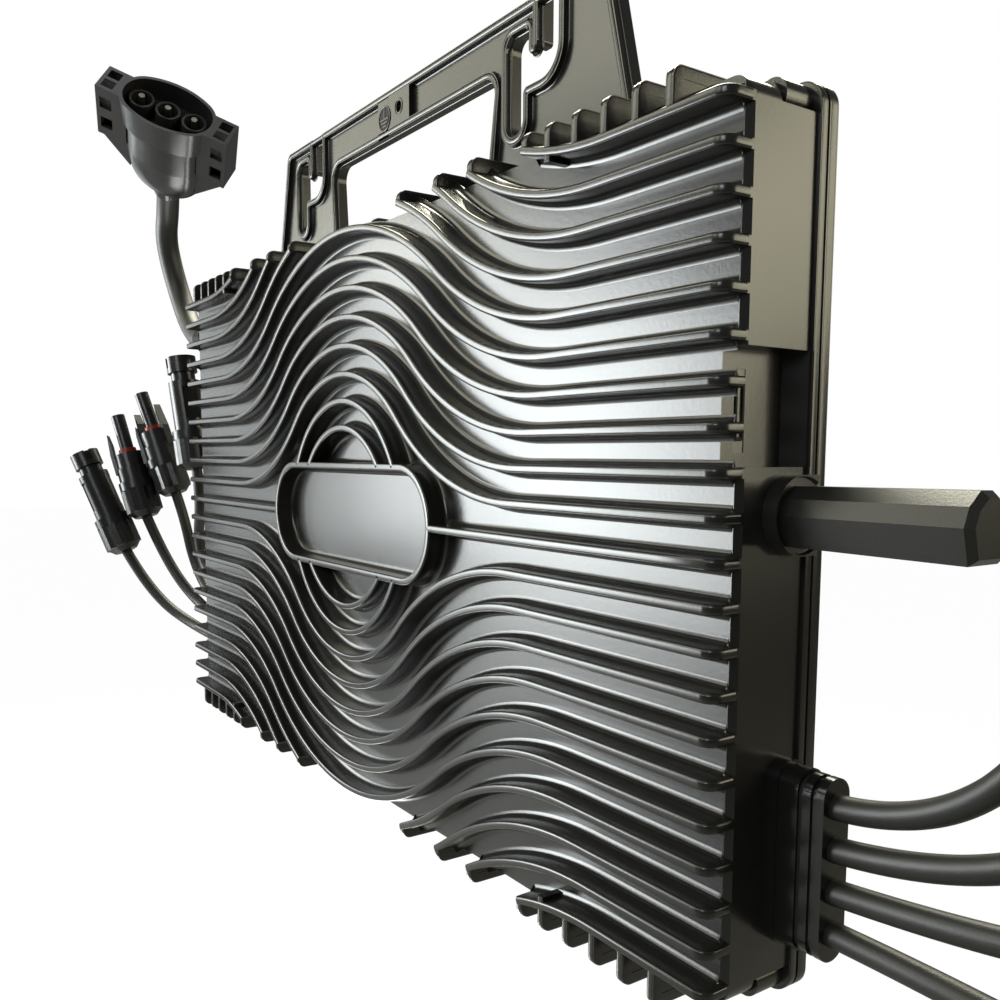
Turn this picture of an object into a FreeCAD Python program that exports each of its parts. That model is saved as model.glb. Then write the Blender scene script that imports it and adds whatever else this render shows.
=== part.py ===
import FreeCAD, Part
import math
import os

# A finned die-cast solar microinverter that hangs on two bolts by its rear plate.
# Housing frame used while building: X to the right, Y from the fin tips to the back,
# Z up, zero at the middle of the front oval. Everything is moved at the end so that
# the origin lies on the line of the two hanging bolts.

V = FreeCAD.Vector
os.makedirs("parts", exist_ok=True)

# ---- driving dimensions, millimetres ----
fin_edge = 5.0              # last fins inside the top and bottom walls
fin_count = 10              # fins above the middle one, and again below it
fin_t = 2.2                 # fin thickness
panel_y = 7.0               # depth of the panel that the fins stand on
half_w = 190.0              # half width over the side walls
half_h = 105.0              # half height over the top and bottom walls
fin_over = 2.0              # fins beyond the top and bottom walls
rib_over = 5.0              # upright end ribs beyond those walls
end_round = 3.5             # rounding of the fin ends
body_r = 5.0                # rounding of the long housing edges
wall = 4.5                  # wall thickness of the castings
wall_rear = 29.3            # depth of the back of the side walls
flange_t = 2.0
flange_over = 1.0           # flange beyond the side walls
flange_rise = 3.5           # flange beyond the top and bottom walls
flange_r = 6.0
gasket_t = 0.8
cover_t = 3.0

crest_1 = 53.3              # crest height of the first wavy fin
crest_step = 10.25          # crest step between neighbours
crest_extra = 10.0          # crest radius beyond the crest height
flat_1 = 110.0              # half width at which the first fin becomes straight
flat_step = 4.5
cut_rise = 1.25             # the high fins are cut where they come down to this above the wall
cut_fall = 0.36             # less for each further one
rib_step = 11.25            # step of the ribs outward of the last cut
rib_more = 5
mid_rib_x = 7.7
mid_rib_y = 10.0
arch_crests = ((33.6, 38.5), (43.5, 47.3))       # crest height and radius of the two arches

oval_l = 66.2               # half length of the front oval
oval_h = 20.5               # half height of the front oval
oval_wall = 2.4

bracket_y = 28.8            # front of the hanging plate's rims
bracket_rise = 56.0         # top of the hanging plate above the flange
bracket_half = 115.6        # half width at its top
bracket_taper = 0.252       # widening per millimetre downward
rim_w = 2.4
rim_h = 2.0
hook_x = (-104.2, 66.7)     # left side of each hanging slot
slot_w = 9.8
slot_low_rise = 17.0        # lower end of the slots above the flange
slot_high_rise = 48.6
tooth_gap = 12.4            # slot left side to the tooth
tooth_w = 4.7
throat_w = 27.9             # slot left side to the right side of the throat
tooth_rise = 41.9
throat_rise = 30.5
bolt_r = 4.0                # hanging bolt
hang_y = 32.0
handle_rise = (5.5, 39.4)   # lower and upper edge of the handle opening
earth_x = -5.6
earth_rise = 48.0
earth_r = 2.1

window_z = (21.4, 48.0)     # side pocket, low and high
window_depth = 6.0
lens_z = (24.6, 43.4)
lens_y = (11.0, 14.6)

antenna_y = 24.0
antenna_z = 10.4
antenna_flat = 14.0         # height of the eight-sided rod
antenna_pad_r = 9.3
antenna_pad_t = 4.0
antenna_l = 48.0            # from the wall to the end

gland_y = 24.0
gland_half = 5.1            # half width of the lead gland
gland_in = 13.3             # bottom wall to the lower end of the glands
gland_l = 45.0
gland_body_t = 9.0
gland_seal_t = 1.2
gland_plate_t = 5.8
gland_inset = 1.0
lead_d = 6.0
lead_in = 7.6               # upper end of the gland to the first lead
lead_step = 9.9
ac_d = 12.8
ac_y = 19.0
ac_in = 17.0                # top wall to the mains lead
ac_gland_r = 8.4
ac_gland_l = 14.0

board_gap_x = 13.5          # inner wall to the board's edge
board_gap_z = 12.5
board_y = 26.0
board_t = 1.6
pad_t = 0.8

screw_d = 4.0
screw_head_r = 4.0
screw_head_t = 2.2
column_r = 5.5
column_in = 3.5             # inner wall to the middle of the columns
side_column_in = 4.0
column_step = 62.0
side_column_top = 35.0      # top wall to the upper side columns
side_column_gland = 16.7    # upper end of the lead glands to the lower ones
screw_in_x = 5.5            # corner screws inside the outer walls
screw_in_z = 1.5
board_screw_in = 20.0
board_hole_in = 8.0
board_screw_x = (-30.0, 100.0)
transformer_in = (47.0, 127.0)   # left edge of the board to the transformers
transformer_z = 40.0
terminal_in = 6.0           # edge of the board to the lead terminals
capacitor_in = 142.0        # right edge of the board to these pieces
relay_in = 132.0
filter_in = 77.0
filter_rise = (26.0, 52.0)  # lower edge of the board to these pieces
film_in = 50.0
film_rise = (16.0, 36.0, 56.0)
radio_in = 32.0

flange_y = wall_rear + flange_t
cover_y = flange_y + gasket_t
back_y = cover_y + cover_t
cavity_y = panel_y + 4.0
gland_x = half_w + gland_body_t + gland_seal_t + gland_plate_t
fin_pitch = (half_h - fin_edge) / fin_count
gland_low = gland_in - half_h
gland_high = gland_low + gland_l
lead_z = [gland_high - lead_in - lead_step * i for i in range(4)]
ac_z = half_h - ac_in
fin_top = half_h + fin_over
rib_top = half_h + rib_over
flange_top = half_h + flange_rise
bracket_top = flange_top + bracket_rise
slot_low = flange_top + slot_low_rise
slot_high = flange_top + slot_high_rise
tooth_low = flange_top + tooth_rise
throat_low = flange_top + throat_rise
handle_low = flange_top + handle_rise[0]
handle_high = flange_top + handle_rise[1]
earth_z = flange_top + earth_rise
hang_z = slot_high - slot_w / 2
board_x = half_w - wall - board_gap_x
board_z = half_h - wall - board_gap_z
antenna_end = half_w + antenna_l
corner_x = half_w - screw_in_x
corner_z = half_h - screw_in_z
column_z = half_h - wall - column_in
column_x = half_w - wall - side_column_in
cover_screws = [(sx * corner_x, sz * corner_z) for sx in (-1, 1) for sz in (-1, 1)]
column_screws = [(i * column_step, sz * column_z) for i in (-2, -1, 0, 1, 2) for sz in (-1, 1)]
column_screws += [(sx * column_x, z) for sx in (-1, 1)
                  for z in (half_h - side_column_top, gland_high + side_column_gland)]
far_screw = board_x - board_screw_in
board_screws = [(x, sz * (board_z - board_hole_in)) for x in (-far_screw, *board_screw_x, far_screw)
                for sz in (-1, 1)]


def box(x0, x1, y0, y1, z0, z1):
    """A block between two corners, in any order."""
    xs, ys, zs = sorted((x0, x1)), sorted((y0, y1)), sorted((z0, z1))
    return Part.makeBox(xs[1] - xs[0], ys[1] - ys[0], zs[1] - zs[0], V(xs[0], ys[0], zs[0]))


def fuse(shapes):
    """One shape from many."""
    return shapes[0].multiFuse(shapes[1:]).removeSplitter()


def rounded_wire(points, radii, lift):
    """A closed outline with tangent arcs at its corners; lift(u, v) places a point."""
    n = len(points)
    starts, mids, ends = [], [], []
    for i in range(n):
        p = V(points[i][0], points[i][1], 0)
        a = V(points[i - 1][0], points[i - 1][1], 0) - p
        b = V(points[(i + 1) % n][0], points[(i + 1) % n][1], 0) - p
        r = radii[i] if isinstance(radii, (list, tuple)) else radii
        a.normalize()
        b.normalize()
        half = a.getAngle(b) / 2
        if r <= 0 or abs(half - math.pi / 2) < 1e-6:
            starts.append(p)
            mids.append(None)
            ends.append(p)
            continue
        cut = r / math.tan(half)
        middle = a + b
        middle.normalize()
        centre = p + middle * (r / math.sin(half))
        starts.append(p + a * cut)
        mids.append(centre - middle * r)
        ends.append(p + b * cut)
    edges = []
    for i in range(n):
        if mids[i] is not None:
            arc = Part.Arc(lift(starts[i].x, starts[i].y), lift(mids[i].x, mids[i].y),
                           lift(ends[i].x, ends[i].y))
            edges.append(arc.toShape())
        j = (i + 1) % n
        if (ends[i] - starts[j]).Length > 1e-6:
            edges.append(Part.LineSegment(lift(ends[i].x, ends[i].y),
                                          lift(starts[j].x, starts[j].y)).toShape())
    return Part.Wire(edges)


def plate(points, radii, y0, y1):
    """A flat piece in the XZ plane, between two depths."""
    wire = rounded_wire(points, radii, lambda x, z: V(x, y0, z))
    return Part.Face(wire).extrude(V(0, y1 - y0, 0))


def side_plate(points, radii, x0, x1):
    """A flat piece in the YZ plane, between two places across the width."""
    wire = rounded_wire(points, radii, lambda y, z: V(x0, y, z))
    return Part.Face(wire).extrude(V(x1 - x0, 0, 0))


def rectangle(x0, x1, z0, z1):
    return [(x0, z0), (x1, z0), (x1, z1), (x0, z1)]


def rod_y(x, z, r, y0, y1):
    return Part.makeCylinder(r, y1 - y0, V(x, y0, z), V(0, 1, 0))


def rod_x(y, z, r, x0, x1):
    d = 1 if x1 > x0 else -1
    return Part.makeCylinder(r, abs(x1 - x0), V(x0, y, z), V(d, 0, 0))


# ---- the wavy fins ----

def fin_shape(n):
    """Crest radius, valley radius, half width and turn of fin n.

    The crest arc and the valley arc touch where both have turned by the angle t.
    With rise h, half width w and S = crest radius + valley radius,
    w^2 + (S - h)^2 = S^2, so S = (w^2 + h^2) / (2 h) and sin t = w / S.
    """
    crest = crest_1 + crest_step * (n - 1)
    radius = crest + crest_extra
    w = flat_1 + flat_step * (n - 1)
    h = crest - fin_pitch * n
    total = (w * w + h * h) / (2 * h)
    return crest, radius, total - radius, w, math.asin(w / total)


def fin_height(n, x):
    """Height of the middle line of fin n at distance x from the centre."""
    crest, radius, valley, w, turn = fin_shape(n)
    if x <= radius * math.sin(turn):
        return crest - radius + math.sqrt(radius ** 2 - x ** 2)
    if x <= w:
        return fin_pitch * n + valley - math.sqrt(valley ** 2 - (w - x) ** 2)
    return fin_pitch * n


def fin_reach(n, z):
    """Distance from the centre at which fin n has come down to height z."""
    crest, radius, valley, w, turn = fin_shape(n)
    if z >= crest - radius * (1 - math.cos(turn)):
        return math.sqrt(radius ** 2 - (z - crest + radius) ** 2)
    return w - math.sqrt(valley ** 2 - (fin_pitch * n + valley - z) ** 2)


high_fins = [n for n in range(1, fin_count + 1) if fin_shape(n)[0] > fin_top]
cut_x = {n: fin_reach(n, half_h + cut_rise - cut_fall * i) for i, n in enumerate(high_fins)}


def fin_edges(n, side, up, y):
    """One long side of fin n, from left to right; side is +1 above, -1 below."""
    crest, radius, valley, w, turn = fin_shape(n)
    h = side * fin_t / 2
    base = fin_pitch * n

    def at(x, z):
        return V(x, y, up * z)

    def crest_pt(t):
        return at((radius + h) * math.sin(t), crest - radius + (radius + h) * math.cos(t))

    def valley_pt(t, s):
        return at(s * (w - (valley - h) * math.sin(t)),
                  base + valley - (valley - h) * math.cos(t))

    far = half_w + 1
    return [Part.LineSegment(at(-far, base + h), at(-w, base + h)).toShape(),
            Part.Arc(at(-w, base + h), valley_pt(turn / 2, -1), valley_pt(turn, -1)).toShape(),
            Part.Arc(crest_pt(-turn), crest_pt(0), crest_pt(turn)).toShape(),
            Part.Arc(valley_pt(turn, 1), valley_pt(turn / 2, 1), at(w, base + h)).toShape(),
            Part.LineSegment(at(w, base + h), at(far, base + h)).toShape()]


def wavy_fin(n, up):
    """Fin n above the middle (up = 1) or its mirror image below (up = -1)."""
    far = half_w + 1
    top = fin_edges(n, 1, up, 0)
    low = fin_edges(n, -1, up, 0)
    z0 = up * (fin_pitch * n - fin_t / 2)
    z1 = up * (fin_pitch * n + fin_t / 2)
    ends = [Part.LineSegment(V(s * far, 0, z0), V(s * far, 0, z1)).toShape() for s in (-1, 1)]
    wire = Part.Wire(Part.__sortEdges__(top + low + ends))
    fin = Part.Face(wire).extrude(V(0, panel_y + 1.6, 0))
    if n in cut_x:
        keep = [box(s * cut_x[n], s * (far + 5), -1, 20, -200, 200) for s in (-1, 1)]
        fin = fin.common(Part.makeCompound(keep))
    return fin


def front_slab():
    """The space that the fins may fill, with the rounded ends at both sides."""
    points = [(-half_w, panel_y + 1.6), (-half_w, 0), (half_w, 0), (half_w, panel_y + 1.6)]
    wire = rounded_wire(points, [0, end_round, end_round, 0], lambda x, y: V(x, y, -fin_top))
    return Part.Face(wire).extrude(V(0, 0, 2 * fin_top))


def arches():
    """Two arch fins over the front oval and two under it."""
    out = []
    for crest, radius in arch_crests:
        for up in (1, -1):
            c = up * (crest - radius)
            ring = rod_y(0, c, radius + fin_t / 2, 0, panel_y + 0.5)
            ring = ring.cut(rod_y(0, c, radius - fin_t / 2, -1, panel_y + 1))
            out.append(ring.common(box(-60, 60, -1, 20, up * (oval_h - 1), up * 60)))
    return out


def front_oval():
    outer = plate(rectangle(-oval_l, oval_l, -oval_h, oval_h), oval_h - 0.1, 0, panel_y + 0.5)
    w = oval_wall
    inner = plate(rectangle(w - oval_l, oval_l - w, w - oval_h, oval_h - w),
                  oval_h - w - 0.1, -1, panel_y + 1)
    return outer.cut(inner)


def upright_rib(x, foot, y0, up):
    """A thin rib from the front back to the flange, with a rounded upper front corner."""
    points = [(y0, up * foot), (y0, up * rib_top), (wall_rear, up * rib_top),
              (wall_rear, up * (half_h - 1)), (y0 + 0.001, up * (half_h - 1))]
    if foot >= half_h - 1:
        points = points[:4]
    else:
        points = [(y0, up * foot), (y0, up * rib_top), (wall_rear, up * rib_top),
                  (wall_rear, up * (half_h - 1)), (panel_y + 1, up * (half_h - 1)),
                  (panel_y + 1, up * foot)]
    radii = [0, 3.0] + [0] * (len(points) - 2)
    return side_plate(points, radii, x - fin_t / 2, x + fin_t / 2)


def all_ribs():
    out = []
    places = [(cut_x[n] + fin_t / 2, fin_height(n, cut_x[n])) for n in cut_x]
    last = high_fins[-1]
    places += [(cut_x[last] + rib_step * i, fin_pitch * last) for i in range(1, rib_more + 1)]
    for up in (1, -1):
        for s in (-1, 1):
            for x, foot in places:
                out.append(upright_rib(s * x, foot - 0.5, 0, up))
            out.append(upright_rib(s * mid_rib_x, half_h - 1, mid_rib_y, up))
    return out


def housing_block():
    """The closed box of the housing before its cavity is taken out."""
    block = plate(rectangle(-half_w, half_w, -half_h, half_h), body_r, panel_y, wall_rear)
    c = 1.5
    points = [(-half_w, wall_rear), (-half_w, panel_y + c), (c - half_w, panel_y),
              (half_w - c, panel_y), (half_w, panel_y + c), (half_w, wall_rear)]
    wire = rounded_wire(points, 0, lambda x, y: V(x, y, -half_h - 1))
    block = block.common(Part.Face(wire).extrude(V(0, 0, 2 * half_h + 2)))
    for sx in (-1, 1):
        for sz in (-1, 1):
            block = block.cut(box(sx * (corner_x - 7.5), sx * (half_w + 5), 17, wall_rear + 1,
                                  sz * (half_h - wall), sz * (half_h + 7)))
    lip = plate(flange_outline(0), flange_r, wall_rear, flange_y)
    corners = [rod_y(x, z, 4.2, 20, wall_rear) for x, z in cover_screws]
    corners += [rod_y(x, z, 3.0, 18, 20) for x, z in cover_screws]
    return fuse([block, lip] + corners)


def flange_outline(inset):
    x = half_w + flange_over - inset
    z = flange_top - inset
    return rectangle(-x, x, -z, z)


def cavity():
    x, z = half_w - wall, half_h - wall
    hollow = plate(rectangle(-x, x, -z, z), 6.0, cavity_y, flange_y + 1)
    keep = [rod_y(px, pz, column_r, cavity_y - 1, flange_y + 2) for px, pz in column_screws]
    keep += [box(px - column_r, px + column_r, cavity_y - 1, flange_y + 2,
                 pz, math.copysign(half_h - wall + 0.5, pz)) for px, pz in column_screws[:10]]
    keep += [box(px, math.copysign(half_w - wall + 1.5, px), cavity_y - 1, flange_y + 2,
                 pz - column_r, pz + column_r) for px, pz in column_screws[10:]]
    keep += [rod_y(px, pz, 3.5, cavity_y - 1, board_y) for px, pz in board_screws]
    keep.append(box(half_w - window_depth - 6, half_w - wall + 1.5, cavity_y - 1, flange_y + 2,
                    window_z[0] - 4, window_z[1] + 4))
    for tool in keep:
        hollow = hollow.cut(tool)
    return hollow


def side_pocket():
    """The pocket in the right wall, open to the front, with a sloping back."""
    x = half_w - window_depth
    points = [(x, -2), (half_w + 3, -2), (half_w + 3, 29.2 + 1.4), (half_w, 29.2), (x, 27.0)]
    wire = rounded_wire(points, 0, lambda px, py: V(px, py, window_z[0]))
    return Part.Face(wire).extrude(V(0, 0, window_z[1] - window_z[0]))


def front_housing():
    slab = front_slab()
    fins = []
    for up in (1, -1):
        for n in range(1, fin_count + 1):
            fins.append(wavy_fin(n, up).common(slab))
    for s in (-1, 1):
        mid = box(s * (oval_l - 1), s * (half_w + 1), 0, panel_y + 1.6, -fin_t / 2, fin_t / 2)
        fins.append(mid.common(slab))
    shape = housing_block().cut(cavity())
    shape = shape.multiFuse(fins + arches() + [front_oval()] + all_ribs())
    tools = [side_pocket()]
    tools.append(box(half_w - window_depth - 1.5, half_w, lens_y[0], lens_y[1],
                     lens_z[0], lens_z[1]))
    tools += [rod_y(x, z, screw_d / 2 + 0.05, 20, flange_y + 1)
              for x, z in cover_screws + column_screws]
    tools += [rod_y(x, z, 1.5, 18, board_y + 1) for x, z in board_screws]
    tools.append(rod_x(antenna_y, antenna_z, 3.1, half_w + 1, half_w - wall - 1))
    tools.append(rod_x(ac_y, ac_z, 6.4, -half_w - 1, wall - half_w + 1))
    for s in (-1, 1):
        tools.append(box(s * (half_w + 1), s * (half_w - wall - 1), gland_y - 3.2, gland_y + 3.2,
                         gland_low + 4, gland_high - 4))
    return shape.cut(Part.makeCompound(tools)).removeSplitter()


# ---- back cover with its hanging plate ----

def bracket_outline():
    low = flange_top + 0.5
    wide = bracket_half + bracket_taper * (bracket_top - low)
    return [(-wide, low), (wide, low), (bracket_half, bracket_top), (-bracket_half, bracket_top)]


def hook_slot(x, grow):
    """The void of one hanging slot; x is its left side, grow widens it for the rim."""
    g = grow
    return [(x + tooth_gap + tooth_w - g, bracket_top + 5), (x + tooth_gap + tooth_w - g, tooth_low - g),
            (x + tooth_gap + g, tooth_low - g), (x + tooth_gap + g, slot_high + g),
            (x - g, slot_high + g), (x - g, slot_low - g), (x + slot_w + g, slot_low - g),
            (x + slot_w + g, throat_low - g), (x + throat_w + g, throat_low - g),
            (x + throat_w + g, bracket_top + 5)]


hook_radii = [0, 1.2, 1.2, 3.0, 4.5, 4.5, 4.5, 2.0, 9.0, 0]
rim_radii = [0, 0.6, 0.6, 3.0, 6.0, 6.5, 6.5, 0.5, 11.0, 0]


def handle_outline(grow):
    g = grow
    return [(-63.0 - g, handle_low - g), (56.0 + g, handle_low - g), (61.5 + g, handle_high + g),
            (-65.9 - g, handle_high + g)]


def hanging_plate():
    body = plate(bracket_outline(), [0, 0, 4.0, 4.0], bracket_y, back_y)
    low = flange_top - 6
    wide = bracket_half + bracket_taper * bracket_rise - 1.0
    foot = plate(rectangle(-wide, wide, low, flange_top + 2), 0, cover_y, back_y)
    body = body.fuse(foot)
    g = rim_w
    o = bracket_outline()
    inner = [(o[0][0] + g + 0.6, o[0][1] + g), (o[1][0] - g - 0.6, o[1][1] + g),
             (o[2][0] - g, o[2][1] - g), (o[3][0] + g, o[3][1] - g)]
    recess = plate(inner, [0, 0, 2.0, 2.0], bracket_y - 1, bracket_y + rim_h)
    recess = recess.cut(plate(handle_outline(g), 8.0, bracket_y - 2, bracket_y + 5))
    recess = recess.cut(box(earth_x - 8.5, earth_x + 8.1, bracket_y - 2, bracket_y + 5,
                            handle_high - 4, bracket_top + 5))
    for x in hook_x:
        recess = recess.cut(plate(hook_slot(x, g), rim_radii, bracket_y - 2, bracket_y + 5))
        recess = recess.cut(box(x + tooth_gap - 0.5, x + tooth_gap + tooth_w, bracket_y - 2,
                                bracket_y + 5, tooth_low, bracket_top))
    body = body.cut(recess)
    for x in hook_x:
        body = body.cut(plate(hook_slot(x, 0), hook_radii, bracket_y - 1, back_y + 1))
    body = body.cut(plate(handle_outline(0), 6.0, bracket_y - 1, back_y + 1))
    return body.cut(rod_y(earth_x, earth_z, earth_r, bracket_y - 1, back_y + 1))


def back_cover():
    cover = plate(flange_outline(0), flange_r, cover_y, back_y).fuse(hanging_plate())
    for x, z in cover_screws + column_screws:
        cover = cover.cut(rod_y(x, z, screw_d / 2 + 0.3, cover_y - 1, back_y + 1))
        head = Part.makeCone(screw_d / 2 + 0.3, screw_head_r + 0.1, screw_head_t,
                             V(x, back_y - screw_head_t, z), V(0, 1, 0))
        cover = cover.cut(head)
    for s in (-1, 1):
        near, far = 40.0, half_w - 40.0
        cover = cover.cut(plate(rectangle(min(s * near, s * far), max(s * near, s * far),
                                          35.0 - half_h, half_h - 35.0), 8.0,
                                back_y - 0.8, back_y + 1))
    return cover.removeSplitter()


def gasket():
    ring = plate(flange_outline(0.8), flange_r - 0.8, flange_y, cover_y)
    x, z = half_w - wall, half_h - wall
    hollow = plate(rectangle(-x, x, -z, z), 6.0, flange_y - 1, cover_y + 1)
    ears = [rod_y(px, pz, column_r, flange_y - 1, cover_y + 1) for px, pz in column_screws]
    for ear in ears:
        hollow = hollow.cut(ear)
    ring = ring.cut(hollow)
    for px, pz in cover_screws + column_screws:
        ring = ring.cut(rod_y(px, pz, screw_d / 2 + 0.3, flange_y - 1, cover_y + 1))
    return ring


def cover_screw_set():
    out = []
    for x, z in cover_screws + column_screws:
        head = Part.makeCone(screw_d / 2, screw_head_r, screw_head_t,
                             V(x, back_y - screw_head_t, z), V(0, 1, 0))
        shaft = rod_y(x, z, screw_d / 2, 21, back_y - screw_head_t)
        socket = Part.makeCylinder(1.4, 1.3, V(x, back_y - 1.2, z), V(0, 1, 0))
        out.append(head.fuse(shaft).cut(socket))
    return Part.makeCompound(out)


# ---- antenna ----

def antenna_base():
    r = antenna_pad_r
    points = [(antenna_y - r, antenna_z - r), (wall_rear - 0.1, antenna_z - r),
              (wall_rear - 0.1, antenna_z + r), (antenna_y - r, antenna_z + r)]
    radii = [r - 0.01, 0, 0, r - 0.01]
    pad = side_plate(points, radii, half_w, half_w + antenna_pad_t)
    seat = Part.makeCone(antenna_flat / 2 + 1.65, antenna_flat / 2 + 2.05, 1.0,
                         V(half_w + antenna_pad_t - 1.0, antenna_y, antenna_z), V(1, 0, 0))
    pad = pad.cut(seat)
    return pad.cut(rod_x(antenna_y, antenna_z, 3.1, half_w - 1, half_w + antenna_pad_t + 1))


antenna_section = [(2.0, 7.0), (-2.0, 7.0), (-5.6, 4.1), (-7.2, 0.2), (-5.2, -7.0), (5.2, -7.0),
                   (7.2, 0.2), (5.6, 4.1)]


def antenna_bar(x0, x1, scale0, scale1):
    """An eight-sided bar along X whose section grows or shrinks between two ends."""
    wires = []
    for x, k in ((x0, scale0), (x1, scale1)):
        k = k * antenna_flat / 14.0
        pts = [V(x, antenna_y + k * y, antenna_z + k * z) for y, z in antenna_section]
        wires.append(Part.makePolygon(pts + [pts[0]]))
    return Part.makeLoft(wires, True, True)


def antenna_rod():
    x0 = half_w + antenna_pad_t - 1.0
    bar = antenna_bar(x0, antenna_end - 1.6, 0.97, 1.03)
    tip = antenna_bar(antenna_end - 1.6, antenna_end, 1.03, 0.84)
    stem = rod_x(antenna_y, antenna_z, 3.0, x0, half_w - wall - 6)
    return fuse([bar, tip, stem])


def antenna_nut():
    pts = [V(half_w - wall - 3.5, antenna_y + 5.5 * math.cos(i * math.pi / 3),
             antenna_z + 5.5 * math.sin(i * math.pi / 3)) for i in range(6)]
    nut = Part.Face(Part.makePolygon(pts + [pts[0]])).extrude(V(3.5, 0, 0))
    return nut.cut(rod_x(antenna_y, antenna_z, 3.0, half_w - 12, half_w))


# ---- glands ----

def gland_plate(s, x0, x1, inset):
    h = gland_half - inset / 2
    points = [(gland_y - h, gland_low + inset), (gland_y + h, gland_low + inset),
              (gland_y + h, gland_high - inset), (gland_y - h, gland_high - inset)]
    return side_plate(points, h - 0.1, s * x0, s * x1)


def gland_body(s):
    """The block of the gland with its plug through the wall."""
    x0 = half_w
    block = gland_plate(s, x0, x0 + 3.5, 0).fuse(gland_plate(s, x0 + 3.5, x0 + gland_body_t, 0.6))
    plug = box(s * (x0 - wall - 0.5), s * x0, gland_y - 3.05, gland_y + 3.05,
               gland_low + 4.15, gland_high - 4.15)
    return block.fuse(plug).removeSplitter()


def gland_seal(s):
    x0 = half_w + gland_body_t
    return gland_plate(s, x0, x0 + gland_seal_t, 1.8)


def gland_clamp(s):
    """The outer plate with a groove round its edge."""
    x0 = half_w + gland_body_t + gland_seal_t
    shape = gland_plate(s, x0, x0 + gland_plate_t, gland_inset)
    groove = gland_plate(s, x0 + 2.2, x0 + 3.6, gland_inset - 1.0)
    groove = groove.cut(gland_plate(s, x0 + 2.0, x0 + 4.0, gland_inset + 1.0))
    return shape.cut(groove)


def ac_gland():
    """Round gland of the mains lead on the left wall."""
    x = -half_w
    r = ac_gland_r
    pts = [V(x - 2.5, ac_y + r * math.cos(i * math.pi / 3), ac_z + r * math.sin(i * math.pi / 3))
           for i in range(6)]
    hexa = Part.Face(Part.makePolygon(pts + [pts[0]])).extrude(V(-5.5, 0, 0))
    flange = rod_x(ac_y, ac_z, r, x, x - 2.5)
    dome = Part.makeCone(8.0, 7.2, ac_gland_l - 8.0, V(x - 8.0, ac_y, ac_z), V(-1, 0, 0))
    stem = rod_x(ac_y, ac_z, 6.3, x, x + wall + 6)
    return fuse([flange, hexa, dome, stem])


def ac_gland_nut():
    x = wall - half_w
    r = ac_gland_r - 0.5
    pts = [V(x, ac_y + r * math.cos(i * math.pi / 3), ac_z + r * math.sin(i * math.pi / 3))
           for i in range(6)]
    nut = Part.Face(Part.makePolygon(pts + [pts[0]])).extrude(V(4.0, 0, 0))
    return nut.cut(rod_x(ac_y, ac_z, 6.3, x - 1, x + 8))


# ---- inner pieces ----

def boxes(list_of_boxes):
    return Part.makeCompound([box(*b) for b in list_of_boxes])


def main_board():
    board = box(-board_x, board_x, board_y, board_y + board_t, -board_z, board_z)
    for x, z in board_screws:
        board = board.cut(rod_y(x, z, 1.6, board_y - 1, board_y + 3))
    return board


def board_screw_set():
    out = []
    for x, z in board_screws:
        y = board_y + board_t
        out.append(rod_y(x, z, 1.45, 20, y).fuse(rod_y(x, z, 2.8, y, y + 1.8)))
    return Part.makeCompound(out)


transformers = [(inset - board_x, sz * transformer_z) for inset in transformer_in for sz in (1, -1)]


def transformer_cores():
    out = []
    for x, z in transformers:
        core = box(x - 21, x + 21, cavity_y + pad_t, board_y, z - 16, z + 16)
        out.append(core.cut(box(x - 15, x + 15, cavity_y + pad_t + 3, board_y + 1, z - 17, z + 17)))
    return Part.makeCompound(out)


def transformer_coils():
    out = []
    for x, z in transformers:
        out.append(plate(rectangle(x - 14.6, x + 14.6, z - 22, z + 22), 6.0,
                         cavity_y + pad_t + 3.1, board_y))
    return Part.makeCompound(out)


def thermal_pads():
    return boxes([(x - 21, x + 21, cavity_y, cavity_y + pad_t, z - 16, z + 16)
                  for x, z in transformers])


def capacitors():
    out = []
    for i in range(6):
        x = board_x - capacitor_in + 14 * i
        out.append(Part.makeCylinder(6.0, 32, V(x, board_y - 6.0, 12), V(0, 0, 1)))
    return Part.makeCompound(out)


def relays():
    x = board_x - relay_in
    return boxes([(x, x + 28, board_y - 13, board_y, z, z + 16) for z in (-70, -46)])


def filter_coils():
    out = []
    x = board_x - filter_in
    for rise in filter_rise:
        z = rise - board_z
        out.append(rod_y(x, z, 11, board_y - 12, board_y).cut(rod_y(x, z, 5, 0, 40)))
    return Part.makeCompound(out)


def film_capacitors():
    x = board_x - film_in
    return boxes([(x, x + 28, board_y - 12, board_y, rise - board_z, rise - board_z + 14)
                  for rise in film_rise])


def radio_board():
    x = board_x - radio_in
    return boxes([(x, x + 28, board_y - 3, board_y, -8, 24)])


def lead_terminals():
    out = []
    for s in (-1, 1):
        for z in lead_z:
            x = s * (board_x - terminal_in)
            out.append(box(x - 4, x + 4, board_y - 7, board_y, z - 3.6, z + 3.6))
    out.append(box(1 - board_x, 14 - board_x, board_y - 11, board_y, 50, 74))
    return Part.makeCompound(out)


# ---- leads and their connectors ----

def unit(a, b):
    d = V(*b) - V(*a)
    d.normalize()
    return d


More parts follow.
